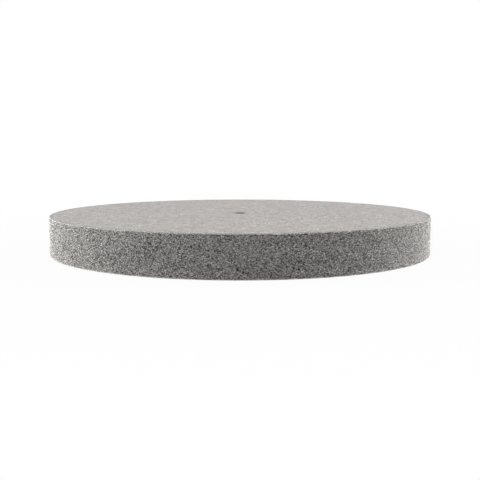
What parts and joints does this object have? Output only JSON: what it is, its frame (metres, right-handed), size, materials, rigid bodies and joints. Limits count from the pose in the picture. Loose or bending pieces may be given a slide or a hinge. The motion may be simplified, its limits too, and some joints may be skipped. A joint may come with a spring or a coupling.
{
  "type": "nylon deburring wheel",
  "caption": "Flat round deburring wheel of bonded non-woven nylon web, with a plain central bore for an arbor.",
  "frame": {"origin": "centre of the bore on the lower flat face, which the wheel lies on", "axes": "+Z along the bore, away from the face that the wheel lies on; the wheel is the same all round, so +X and +Y are any two radii at right angles"},
  "size_m": [0.25, 0.25, 0.025],
  "materials": {
    "nonwoven_nylon": "matte"
  },
  "bodies": {
    "root": {"wheel": "nonwoven_nylon"}
  },
  "joints": []
}
